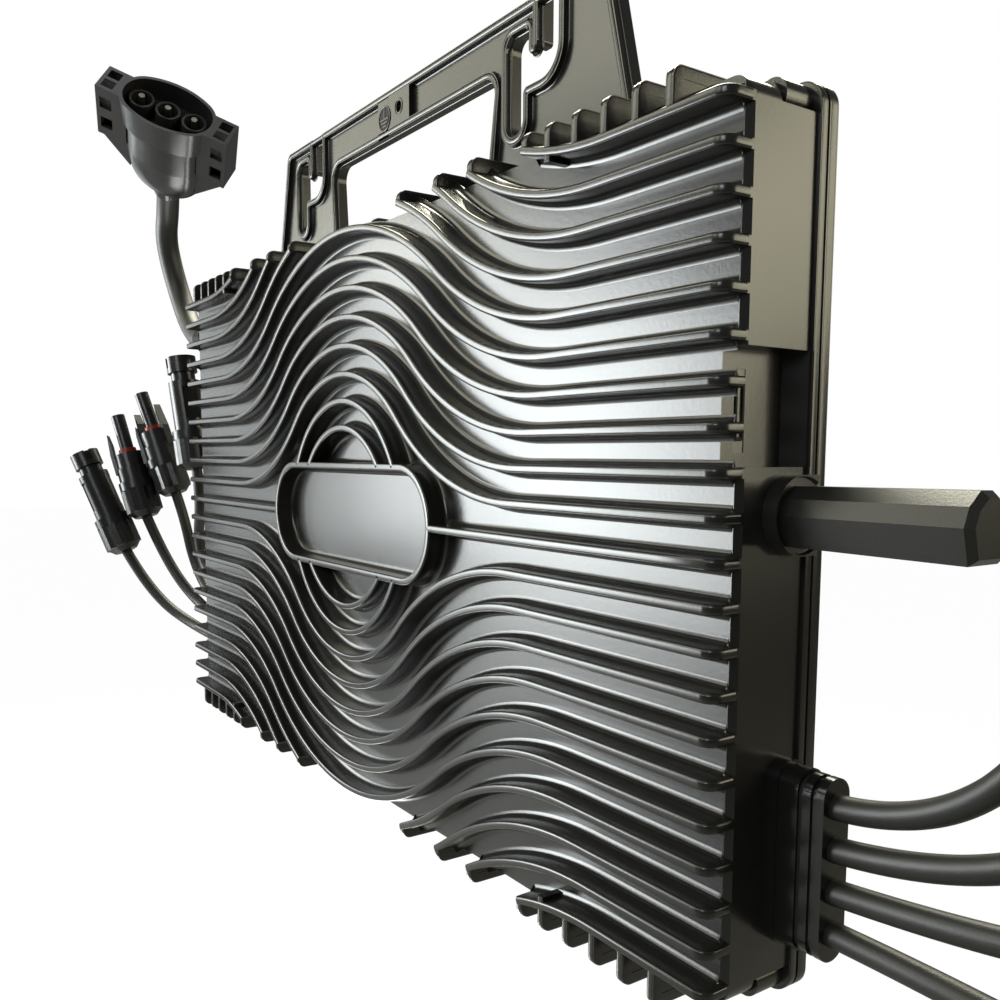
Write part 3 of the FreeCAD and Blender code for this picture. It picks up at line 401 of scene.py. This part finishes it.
# %% Finishes on the solids
FINISH_OF = {
    "powder_coat": "front_housing back_cover",
    "soft_black": "cover_gasket ac_plug_insert",
    "steel": "cover_screws antenna_nut board_screws",
    "tinned": "pv_plug_contacts ac_plug_pins",
    "smoky_lens": "status_lens",
    "red_seal": "pv_plug_rings",
    "antenna_skin": "antenna_base antenna_rod",
    "gland_gloss": "ac_gland ac_gland_nut",
    "mains_satin": "ac_plug_shell ac_plug_nut",
    "jacket": "ac_lead",
    "plug_satin": "relays lead_terminals",
    "board_green": "main_board radio_board",
    "ferrite": "transformer_cores filter_coils",
    "winding": "transformer_coils",
    "pad_grey": "thermal_pads",
    "part_blue": "capacitors film_capacitors",
}
FAMILIES = (("gland_seal", "soft_black"), ("gland", "gland_gloss"),
            ("pv_lead", "jacket"), ("pv_plug", "plug_satin"))
by_name = {node: finish for finish, solids in FINISH_OF.items() for node in solids.split()}


def finish_for(name):
    """The finish of a solid: by its own name, or by the family that its name starts with."""
    family = (finish for start, finish in FAMILIES if name.startswith(start))
    return finishes[by_name.get(name) or next(family)]


for name, obj in nodes.items():
    obj.data.materials.clear()
    obj.data.materials.append(finish_for(name))
for lead in leads.values():
    lead.data.materials.append(finishes["jacket"])
print("solids finished:", len(nodes))

# %% [markdown]
# Each real fin has a rounded nose, a slight draft and a soft fillet where it meets the
# panel. The solids leave these out, so a thin skin is carried along each fin: a profile
# across the fin, swept along its middle line.

# %% A piece from arrays
SHARP_ANGLE = 0.7               # radians


def add_piece(name, verts, faces, material):
    """A mesh object in the hanging frame, smooth but for edges past the sharp angle."""
    mesh = bpy.data.meshes.new(name)
    mesh.vertices.add(len(verts))
    mesh.vertices.foreach_set("co", np.asarray(verts, np.float32).ravel())
    faces = np.asarray(faces)
    count, sides = faces.shape
    mesh.loops.add(count * sides)
    mesh.loops.foreach_set("vertex_index", faces.ravel())
    mesh.polygons.add(count)
    mesh.polygons.foreach_set("loop_start", np.arange(0, count * sides, sides))
    mesh.update(calc_edges=True)
    mesh.validate()
    mesh.polygons.foreach_set("use_smooth", np.ones(len(mesh.polygons), bool))
    mesh.set_sharp_from_angle(angle=SHARP_ANGLE)
    mesh.materials.append(material)
    obj = bpy.data.objects.new(name, mesh)
    bpy.context.scene.collection.objects.link(obj)
    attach(obj, "root")


# %% Surfaces swept along a line
NOSE_D, ROOT_D = 1.2, 6.96      # depths where a fin's nose ends and where its foot stands


def sweep(nose, across, outward, profile, root=None):
    """A closed tube: point(i, j) = nose_i + across_i * side_j - outward_i * depth_j.

    profile is a closed ring of (side, depth) pairs; the two ends are closed by fans.
    With root points given, depths past NOSE_D run straight from the nose to the root.
    Where the path times across points inward, the faces are turned round.
    """
    n, m = len(nose), len(profile)
    side, depth = profile[:, 0][None, :, None], profile[:, 1][None, :, None]
    straight = depth if root is None else np.minimum(depth, NOSE_D)
    grid = nose[:, None] - outward[:, None] * straight
    if root is not None:
        share = np.clip((depth - NOSE_D) / (ROOT_D - NOSE_D), 0, None)
        grid = grid + (root[:, None] - (nose - outward * NOSE_D)[:, None]) * share
    grid = grid + across[:, None] * side
    i, j = np.meshgrid(np.arange(n - 1), np.arange(m), indexing="ij")
    k = (j + 1) % m
    quads = np.stack([i * m + j, i * m + k, (i + 1) * m + k, (i + 1) * m + j], -1).reshape(-1, 4)
    ring = np.arange(m)
    after = (ring + 1) % m
    first = np.stack([np.full(m, n * m), after, ring], -1)
    last = np.stack([np.full(m, n * m + 1), (n - 1) * m + ring, (n - 1) * m + after], -1)
    verts = np.concatenate([grid.reshape(-1, 3), grid[:1].mean(1), grid[-1:].mean(1)])
    caps = np.concatenate([first, last])
    if np.sum(np.cross(np.gradient(nose, axis=0), across) * outward) < 0:
        quads, caps = quads[:, ::-1], caps[:, ::-1]
    return verts, quads, caps


def gather(parts):
    """Join several sweeps into one set of vertices and triangles."""
    verts, tris, start = [], [], 0
    for v, quads, caps in parts:
        both = np.concatenate([quads[:, [0, 1, 2]], quads[:, [0, 2, 3]], caps])
        verts.append(v)
        tris.append(both + start)
        start += len(v)
    return np.concatenate(verts), np.concatenate(tris)


# %% Fin profile
PITCH, FIN_T, PANEL_Y, HALF_W, END_R = 10.0, 2.2, 7.0, 190.0, 3.5
OVAL_L, OVAL_H, OVAL_WALL = 66.2, 20.5, 2.4
CUT_X = {7: 45.4, 8: 69.33, 9: 88.93, 10: 116.3}    # where the cut-off fins start, by fin


def arc(cx, cy, r, start, end, steps):
    """Points cx + r cos t, cy + r sin t for t from start to end in degrees."""
    t = np.radians(np.linspace(start, end, steps))
    return np.c_[cx + r * np.cos(t), cy + r * np.sin(t)]


def fin_profile(half, root, nose=0.7, proud=0.15, base=PANEL_Y):
    """Half profile mirrored: root fillet, drafted side, rounded nose; (side, depth)."""
    fillet = arc(half + 0.25 + root, base - 0.04 - root, root, 90, 180, 5)
    tip = arc(half + proud - nose, nose - 0.3, nose, 0, -90, 5)
    right = np.concatenate([fillet, tip])
    left = right[::-1] * [-1, 1]
    under = np.array([[-(half + 0.25 + root), base + 0.3], [half + 0.25 + root, base + 0.3]])
    return np.concatenate([right, left, under])


# %% [markdown]
# The wave is the casting's character. Every fin is three pieces that meet in tangent: an
# arc over the oval, an arc the other way in the valley and a straight end. The radii follow
# from the height of the crest and from where the straight end starts.

# %% Wave of a fin
def wave(n):
    """Height of fin n as a function of x, and the x where its straight end starts.

    The crest arc has its top at crest and the radius crest + 10. With w the start of the
    straight end and h the crest's height over it, both radii add up to
    (w^2 + h^2) / 2h, and they meet where the sine of the turned angle is w over that sum.
    """
    crest = 53.3 + 10.25 * (n - 1)
    radius = crest + 10.0
    w, h = 110.0 + 4.5 * (n - 1), crest - PITCH * n
    total = (w * w + h * h) / (2 * h)
    valley, turned = total - radius, math.asin(w / total)
    reach = radius * math.sin(turned)

    def height(x):
        a = np.abs(x)
        top = crest - radius + np.sqrt(np.maximum(radius ** 2 - a ** 2, 0))
        past = np.maximum(w - a, 0)
        low = PITCH * n + valley - np.sqrt(np.maximum(valley ** 2 - past ** 2, 0))
        return np.where(a <= reach, top, low)

    return height, w


# %% [markdown]
# At both side walls a fin turns back round a small radius and ends on the panel. The path
# is worked out in plan first, and the wave then lifts each of its points.

# %% Path of a fin
FOOT_IN = 1.8                   # a fin's foot keeps this far inside the side wall


def rounded_ends(xs, limit, r=END_R):
    """Path in plan: along the front, then a quarter turn of radius r back along the wall."""
    flat = np.abs(xs) <= limit - r
    inner = xs[flat]
    still = np.zeros(len(inner))
    path, out = [np.c_[inner, still]], [np.c_[still, still - 1]]
    for s in (1, -1):
        if (s > 0 and xs.max() < limit) or (s < 0 and xs.min() > -limit):
            continue
        t = np.radians(np.linspace(12, 90, 6))
        bend = np.c_[s * (limit - r + r * np.sin(t)), r - r * np.cos(t)]
        away = np.c_[s * np.sin(t), -np.cos(t)]
        bend = np.concatenate([bend, [[s * limit, PANEL_Y + 0.5]]])
        away = np.concatenate([away, [[s * 1.0, 0.0]]])
        if s > 0:
            path, out = path + [bend], out + [away]
        else:
            path, out = [bend[::-1]] + path, [away[::-1]] + out
    return np.concatenate(path), np.concatenate(out)


def fin_skin(n, up, x0, x1, ring):
    """Skin of fin n from x0 to x1, above (up = 1) or below (up = -1) the middle.

    Its nose runs along (x, 0, height(x)), square to the slope of the height, and its foot
    stands on the panel straight behind.
    """
    if n == 0:
        xs = np.linspace(x0, x1, 8)
        height = np.zeros_like
    else:
        height, w = wave(n)
        xs = np.unique(np.clip(np.concatenate([np.linspace(-w, w, 67), [x0, x1]]), x0, x1))
        if x1 >= HALF_W:
            xs = np.unique(np.append(xs, HALF_W - END_R))
        if x0 <= -HALF_W:
            xs = np.unique(np.append(xs, END_R - HALF_W))
    plan, out = rounded_ends(xs, HALF_W)
    x, y = plan.T
    z = up * height(x)
    slope = (up * height(x + 0.05) - up * height(x - 0.05)) / 0.1
    nose = np.c_[x, y, z]
    across = np.c_[-slope, np.zeros(len(x)), np.ones(len(x))]
    across /= np.linalg.norm(across, axis=1)[:, None]
    outward = np.c_[out[:, 0], out[:, 1], np.zeros(len(x))]
    inside = HALF_W - FOOT_IN
    root = np.c_[np.clip(x, -inside, inside), np.full(len(x), ROOT_D), z]
    return sweep(nose, across, outward, ring, root)


# %% All fins
fin_ring = fin_profile(FIN_T / 2, 1.7)
sweeps = []
for up in (1, -1):
    for n in range(1, 11):
        spans = [(-HALF_W, HALF_W)]
        if n in CUT_X:
            spans = [(-HALF_W, -CUT_X[n]), (CUT_X[n], HALF_W)]
        sweeps += [fin_skin(n, up, a, b, fin_ring) for a, b in spans]
sweeps += [fin_skin(0, 1, a, b, fin_ring)
           for a, b in ((-HALF_W, -OVAL_L + 1), (OVAL_L - 1, HALF_W))]
points, tris = gather(sweeps)
add_piece("fin_skins", hung(points), tris, coat.material)
print("fin skins:", len(tris), "triangles")

# %% [markdown]
# The ribs above and below the fins, the arches, the oval frame and the edges of the
# flange and cover are rounded too: a casting has no sharp edge. Each gets the same kind
# of skin, a rounded profile carried along its free edge.

# %% Beads on upright ribs
RIB_TOP, RIB_PITCH, WALL_REAR, HALF_H = 110.0, 11.25, 29.3, 105.0
MIDDLE_RIB_X, MIDDLE_RIB_Y = 7.7, 10.0
ARCHES = ((33.6, 38.5), (43.5, 47.3))       # crest and radius
FLANGE = (191.0, 108.5, 6.0)                # half width, half height, corner radius


def bead_profile(half, depth, nose, proud=0.1):
    """A bar 2 * half wide and depth deep with its two front corners rounded by nose."""
    tip = arc(half + proud - nose, nose - proud, nose, 0, -90, 5)
    right = np.concatenate([[[half + proud, depth]], tip])
    return np.concatenate([right, right[::-1] * [-1, 1]])


def rib_bead(x, foot, front, up, ring, r=3):
    """Edge of an upright rib: up its front, a turn of radius r, back along its top."""
    t = np.radians(np.linspace(0, 90, 6))
    y = np.concatenate([[front, front + 0.001], front + r - r * np.cos(t), [WALL_REAR]])
    z = np.concatenate([[foot, foot + 0.3], RIB_TOP - r + r * np.sin(t), [RIB_TOP]])
    out_y = np.concatenate([[-1, -1], -np.cos(t), [0]])
    out_z = np.concatenate([[0, 0], np.sin(t), [1]])
    nose = np.c_[np.full(len(y), x), y, up * z]
    outward = np.c_[np.zeros(len(y)), out_y, up * out_z]
    across = np.tile([1.0, 0.0, 0.0], (len(y), 1)) * up
    return sweep(nose, across, outward, ring)


# %% Beads round a rectangle and over an arch
def loop(x, z, r, steps=9):
    """Rounded rectangle of half sizes x, z: corner centre + r (cos t, sin t), and its normals."""
    quarters = [np.linspace(90 * k, 90 * k + 90, steps) for k in range(4)]
    t = np.radians(np.concatenate(quarters + [[360]]))
    sx = np.repeat([1, -1, -1, 1, 1], [steps] * 4 + [1])
    sz = np.repeat([1, 1, -1, -1, 1], [steps] * 4 + [1])
    out = np.c_[np.cos(t), np.sin(t)]
    return np.c_[sx * (x - r), sz * (z - r)] + r * out, out


def loop_bead(x, z, r, y, ring, forward=True, steps=9):
    """A rounded rectangle's bead at depth y, facing the front or facing outward."""
    flat, out = loop(x, z, r, steps)
    nose = np.c_[flat[:, 0], np.full(len(flat), y), flat[:, 1]]
    side = np.c_[out[:, 0], np.zeros(len(flat)), out[:, 1]]
    front = np.tile([0.0, -1.0, 0.0], (len(flat), 1))
    return sweep(nose, side if forward else -front, front if forward else side, ring)


def arch(crest, radius, up, steps=41):
    """Fin of an arch: x = radius sin t, z = crest - radius + radius cos t, over the oval."""
    limit = math.acos((OVAL_H - OVAL_WALL / 2 - crest + radius) / radius)
    t = np.linspace(-limit, limit, steps)
    across = np.c_[np.sin(t), np.zeros(steps), up * np.cos(t)]
    nose = across * radius + [0, 0, up * (crest - radius)]
    return sweep(nose, across * up, np.tile([0.0, -1.0, 0.0], (steps, 1)), fin_ring)


# %% All edges
ring = bead_profile(FIN_T / 2, 3.0, 0.7)
edges = []
for up in (1, -1):
    for s in (1, -1):
        for n, cut in CUT_X.items():
            foot = float(wave(n)[0](cut)) - 0.4
            edges.append(rib_bead(s * (cut + FIN_T / 2), foot, 0.0, up, ring))
        for k in range(1, 6):
            edges.append(rib_bead(s * (CUT_X[10] + RIB_PITCH * k), PITCH * 10, 0.0, up, ring))
        edges.append(rib_bead(s * MIDDLE_RIB_X, HALF_H, MIDDLE_RIB_Y, up, ring))
    edges += [arch(crest, radius, up) for crest, radius in ARCHES]
mid = OVAL_WALL / 2
oval_ring = fin_profile(mid, 1.5)
edges.append(loop_bead(OVAL_L - mid, OVAL_H - mid, OVAL_H - mid - 0.1, 0.0, oval_ring, steps=17))
edges.append(loop_bead(*FLANGE, 30.3, bead_profile(1.0, 1.2, 0.45, 0.04), False))
edges.append(loop_bead(*FLANGE, 33.6, bead_profile(1.5, 1.2, 0.6, 0.04), False))
points, tris = gather(edges)
add_piece("edge_skins", hung(points), tris, coat.material)
print("edge skins:", len(edges), "edges,", len(tris), "triangles")

# %% [markdown]
# The hanging plate is a flat web with raised rims round its outline, its handle and the
# two hook slots. The rims of a casting are round on top, so a half-round bead with small
# root fillets runs along the middle of each.

# %% Rounded path and bead on a front face
def rounded_path(corners, radii, closed=True, steps=6):
    """Straight runs with tangent arcs, each starting r / tan(half angle) from its corner."""
    corners = np.asarray(corners, float)
    runs = []
    for i, (p, r) in enumerate(zip(corners, radii)):
        a, b = corners[i - 1] - p, corners[(i + 1) % len(corners)] - p
        a, b = a / np.linalg.norm(a), b / np.linalg.norm(b)
        half = math.acos(a @ b) / 2
        if r <= 0 or (not closed and i in (0, len(corners) - 1)):
            runs.append(p[None])
            continue
        centre = p + (a + b) / np.linalg.norm(a + b) * r / math.sin(half)
        v0, v1 = p + a * r / math.tan(half) - centre, p + b * r / math.tan(half) - centre
        w = math.pi - 2 * half
        f = np.linspace(0, 1, steps)[:, None]
        runs.append(centre + (np.sin((1 - f) * w) * v0 + np.sin(f * w) * v1) / math.sin(w))
    path = np.concatenate(runs + ([runs[0][:1]] if closed else []))
    along = np.gradient(path, axis=0)
    if closed:
        along[0] = along[-1] = path[1] - path[-2]
    along /= np.linalg.norm(along, axis=1)[:, None]
    return path, np.c_[along[:, 1], -along[:, 0]]


def front_bead(corners, radii, y, ring, closed=True):
    """A bead on a face that looks to the front, along a rounded path in x and z."""
    path, side = rounded_path(corners, radii, closed)
    nose = np.c_[path[:, 0], np.full(len(path), y), path[:, 1]]
    across = np.c_[side[:, 0], np.zeros(len(path)), side[:, 1]]
    return sweep(nose, across, np.tile([0.0, -1.0, 0.0], (len(path), 1)), ring)


# %% Rims of the hanging plate
PLATE_Y, RIM_W, PLATE_TOP, PLATE_LOW = 28.8, 2.4, 164.5, 109.0
PLATE_HALF, PLATE_FLARE = 115.6, 0.252      # half width at the top, and its growth downwards
SLOT_X = (-104.2, 66.7)                     # left sides of the two hook slots


def slot_path(x, g):
    """Outline of a hook slot whose left side is at x, grown by g."""
    top = PLATE_TOP - 0.4
    return [(x + 17.1 - g, top), (x + 17.1 - g, 150.4 - g), (x + 12.4 + g, 150.4 - g),
            (x + 12.4 + g, 157.1 + g), (x - g, 157.1 + g), (x - g, 125.5 - g),
            (x + 9.8 + g, 125.5 - g), (x + 9.8 + g, 139 - g), (x + 27.9 + g, 139 - g),
            (x + 27.9 + g, top)]


rim = fin_profile(RIM_W / 2 - 0.1, 0.5, nose=1.0, proud=0.1, base=2.0)
g = RIM_W / 2
wide = PLATE_HALF + PLATE_FLARE * (PLATE_TOP - PLATE_LOW)
outline = [(g - wide, PLATE_LOW), (g - PLATE_HALF, PLATE_TOP - g),
           (PLATE_HALF - g, PLATE_TOP - g), (wide - g, PLATE_LOW)]
handle = [(-63 - g, 114 - g), (56 + g, 114 - g), (61.5 + g, 147.9 + g), (-65.9 - g, 147.9 + g)]
slot_radii = [0, 1.0, 1.0, 3, 5.2, 5.4, 5.4, 1.2, 10, 0]
rims = [front_bead(outline, [0, 3, 3, 0], PLATE_Y, rim, False),
        front_bead(handle, [7] * 4, PLATE_Y, rim)]
rims += [front_bead(slot_path(x, g), slot_radii, PLATE_Y, rim, False) for x in SLOT_X]
points, tris = gather(rims)
add_piece("plate_rims", hung(points), tris, coat.material)
print("rims:", len(rims))

# %% [markdown]
# Between handle and top edge a small pad carries the protective-earth sign beside its
# screw hole: a ring with one upright and three bars inside, cast proud of a dark field.

# %% Bars and rings
SIGN_X, SIGN_Z, SIGN_R, LINE = -17.0, 154.9, 4.6, 0.28  # middle, radius, half a line's width


def slab(x0, x1, z0, z1, y0, y1):
    """A flat bar: the four corners of its face, carried from the front to the back."""
    path = np.array([[(x0 + x1) / 2, y1, (z0 + z1) / 2], [(x0 + x1) / 2, y0, (z0 + z1) / 2]])
    w, h = (x1 - x0) / 2, (z1 - z0) / 2
    return sweep(path, np.tile([1.0, 0, 0], (2, 1)), np.tile([0, 0, 1.0], (2, 1)),
                 np.array([[w, h], [w, -h], [-w, -h], [-w, h]]))


def disc_loop(x, z, r, y, ring):
    """A round bead of radius r about (x, z)."""
    flat, out = loop(r, r, r - 1e-6, 9)
    nose = np.c_[flat[:, 0] + x, np.full(len(flat), y), flat[:, 1] + z]
    side = np.c_[out[:, 0], np.zeros(len(flat)), out[:, 1]]
    return sweep(nose, side, np.tile([0.0, -1.0, 0.0], (len(flat), 1)), ring)


# %% Earth sign
SIGN_Y = PLATE_Y - 0.3
wire = bead_profile(LINE, 0.5, 0.2, 0.02)
top_bar = SIGN_Z - 0.3
sign = [slab(-22.6, -14.0, 147.9, PLATE_TOP - 1.5, PLATE_Y, 30.9),
        disc_loop(SIGN_X, SIGN_Z, SIGN_R, SIGN_Y, wire),
        disc_loop(-5.6, 156.5, 2.9, PLATE_Y - 0.2, wire),
        slab(SIGN_X - LINE, SIGN_X + LINE, top_bar, SIGN_Z + SIGN_R, SIGN_Y, PLATE_Y)]
for k, half in enumerate((3.3, 2.3, 1.2)):
    z = top_bar - 1.3 * k
    sign.append(slab(SIGN_X - half, SIGN_X + half, z - LINE, z + LINE, SIGN_Y, PLATE_Y))
points, tris = gather(sign)
add_piece("earth_sign", hung(points), tris, coat.material)
depth = np.array([[SIGN_X, PLATE_Y, SIGN_Z], [SIGN_X, PLATE_Y - 0.06, SIGN_Z]])
field = sweep(depth, np.tile([1.0, 0, 0], (2, 1)), np.tile([0, 0, 1.0], (2, 1)),
              arc(0, 0, SIGN_R, 0, 350, 36))
points, tris = gather([field])
add_piece("earth_field", hung(points), tris, finishes["soft_black"])
print("earth sign at", SIGN_X, SIGN_Z)

# %% [markdown]
# The status light sits in a pocket of the right wall as a narrow smoky strip with a raised
# black frame round it. The frame is one more bead, this time on a wall that looks right.

# %% Frame of the status light
LIGHT_X, LIGHT_Y, LIGHT_Z = 184.35, 12.8, 34.0


def wall_loop(x, y, z, half_y, half_z, r, ring):
    """A rounded rectangle's bead on a wall that looks to the right, about (y, z)."""
    flat, out = loop(half_y, half_z, r, 5)
    nose = np.c_[np.full(len(flat), x), flat[:, 0] + y, flat[:, 1] + z]
    side = np.c_[np.zeros(len(flat)), out]
    return sweep(nose, side, np.tile([1.0, 0.0, 0.0], (len(flat), 1)), ring)


frame_ring = bead_profile(0.45, 0.9, 0.35, 0.0)
points, tris = gather([wall_loop(LIGHT_X, LIGHT_Y, LIGHT_Z, 1.15, 6.3, 0.5, frame_ring)])
add_piece("light_frame", hung(points), tris, finishes["soft_black"])
print("light frame:", len(tris), "triangles")

# %% [markdown]
# The mains lead leaves its gland through a ribbed, tapered sleeve, which keeps the lead
# from being bent sharply at the housing. The sleeve has to follow the lead exactly, so its
# middle line is read from the lead's own spline.

# %% Tube along a lead
def spline_points(lead):
    """Points of a lead's smooth line in metres, as Blender draws its spline with no section."""
    line = lead.data.copy()
    line.bevel_depth = 0
    thin = bpy.data.objects.new("thin", line)
    bpy.context.scene.collection.objects.link(thin)
    bpy.context.view_layer.update()
    mesh = bpy.data.meshes.new_from_object(thin)
    co = np.zeros(3 * len(mesh.vertices))
    mesh.vertices.foreach_get("co", co)
    bpy.data.objects.remove(thin)
    bpy.data.meshes.remove(mesh)
    return co.reshape(-1, 3)


def sleeve(path, radius, around=28):
    """A tube: centre_i + radius_i (cos a, sin a) in the plane square to the path."""
    along = np.gradient(path, axis=0)
    along /= np.linalg.norm(along, axis=1)[:, None]
    first = np.cross(along, [0.0, 0.0, 1.0])
    first /= np.linalg.norm(first, axis=1)[:, None]
    second = np.cross(first, along)
    n, a = len(path), np.linspace(0, 2 * np.pi, around, endpoint=False)
    turn = first[:, None] * np.cos(a)[:, None] + second[:, None] * np.sin(a)[:, None]
    grid = path[:, None] + turn * radius[:, None, None]
    i, j = np.meshgrid(np.arange(n - 1), np.arange(around), indexing="ij")
    k = (j + 1) % around
    quads = np.stack([i * around + j, (i + 1) * around + j, (i + 1) * around + k,
                      i * around + k], -1)
    rim = np.arange(around)
    after = (rim + 1) % around
    caps = np.concatenate([np.stack([np.full(around, n * around), rim, after], -1),
                           np.stack([np.full(around, n * around + 1), (n - 1) * around + after,
                                     (n - 1) * around + rim], -1)])
    verts = np.concatenate([grid.reshape(-1, 3), path[:1], path[-1:]])
    return verts, quads.reshape(-1, 4), caps


# %% Sleeve of the mains lead
SLEEVE_L, RIB_EVERY, RIB_DEEP = 0.028, 0.004, 0.00022      # metres
THICK_END, THIN_BY, LIP = 0.0073, 0.0006, 0.0066           # radius, its loss, radius of both lips
line = spline_points(leads["ac_lead"])
run = np.concatenate([[0], np.cumsum(np.linalg.norm(np.diff(line, axis=0), axis=1))])
steps = np.linspace(0, SLEEVE_L, 113)
centre = np.stack([np.interp(steps, run, line[:, k]) for k in range(3)], -1)
ribs = np.clip(4 * np.cos(steps * 2 * np.pi / RIB_EVERY), -1, 1)
radius = THICK_END - THIN_BY * steps / SLEEVE_L + RIB_DEEP * ribs
radius[0] = radius[-1] = LIP
points, tris = gather([sleeve(centre, radius)])
add_piece("mains_sleeve", points, tris, finishes["gland_gloss"])
print("sleeve runs", round(SLEEVE_L * 1000), "mm")

# %% [markdown]
# The last call brings the scene up to date.

bpy.context.view_layer.update()
